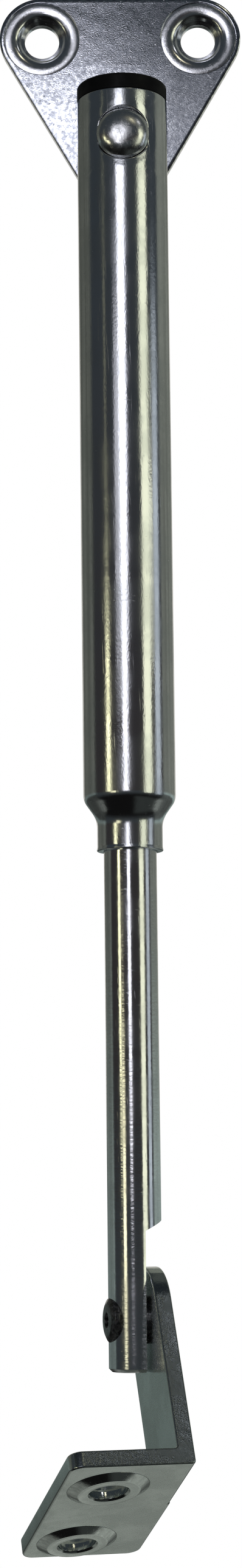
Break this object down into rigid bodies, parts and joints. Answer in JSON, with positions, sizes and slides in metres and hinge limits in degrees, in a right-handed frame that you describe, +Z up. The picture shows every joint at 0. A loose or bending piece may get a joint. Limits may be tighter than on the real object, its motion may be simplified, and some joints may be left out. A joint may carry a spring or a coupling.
{
  "type": "spring lid stay",
  "caption": "Spring-loaded telescopic lid stay: a tube pivots on a screw-down plate, and the sprung rod that slides and turns in it carries a pivoted angle bracket for the lid.",
  "frame": {"origin": "midway between the mounting plate's two screw holes, on the panel face that they are screwed to", "axes": "+X along the plate's screw holes, +Z up the tube towards its end cap, +Y from the front into the panel"},
  "size_m": [0.0384, 0.0352, 0.2432],
  "materials": {
    "plate_zinc": "bright zinc plate, finely scratched",
    "tube_zinc": "bright zinc plate, smooth",
    "rod_zinc": "bright zinc plate, drawn",
    "bracket_zinc": "satin zinc plate",
    "cap_black": "black moulded plastic, slightly glossy",
    "pivot_steel": "bright zinc plate",
    "dark_steel": "black oxide",
    "spring_steel": "oiled spring steel",
    "guide_plastic": "natural acetal",
    "washer_steel": "plain zinc plate"
  },
  "bodies": {
    "plate": {"mounting_plate": "plate_zinc", "pivot_rivet": "pivot_steel", "pivot_spacer": "washer_steel", "head_washer": "dark_steel"},
    "tube": {"outer_tube": "tube_zinc", "end_cap": "cap_black", "pivot_sleeve": "guide_plastic", "spring_seat": "washer_steel", "lift_spring": "spring_steel", "stop_bush": "guide_plastic"},
    "piston": {"guide_piston": "guide_plastic", "piston_washer": "washer_steel"},
    "rod": {"rod": "rod_zinc", "thrust_washer": "washer_steel", "rod_clip": "spring_steel", "lower_rivet": "dark_steel", "leg_washer": "dark_steel", "tail_washer": "washer_steel"},
    "bracket": {"lid_bracket": "bracket_zinc", "wave_washer": "dark_steel"}
  },
  "joints": [
    {"name": "plate_pivot", "type": "hinge", "parent": "plate", "child": "tube", "pos_m": [0, -0.0108, -0.02115], "axis": [0, 1, 0], "continuous": true},
    {"name": "rod_slide", "type": "slide", "parent": "tube", "child": "piston", "axis": [0, 0, 1], "range_m": [0, 0.052], "stiffness_N_per_m": 1200, "springref_m": -0.008, "deforming": ["lift_spring"]},
    {"name": "rod_twist", "type": "hinge", "parent": "piston", "child": "rod", "pos_m": [0, -0.0108, -0.12], "axis": [0, 0, 1], "continuous": true},
    {"name": "bracket_pivot", "type": "hinge", "parent": "rod", "child": "bracket", "pos_m": [0, -0.0108, -0.20115], "axis": [-0.9677, -0.2521, 0], "range_deg": [-135, 95]}
  ]
}
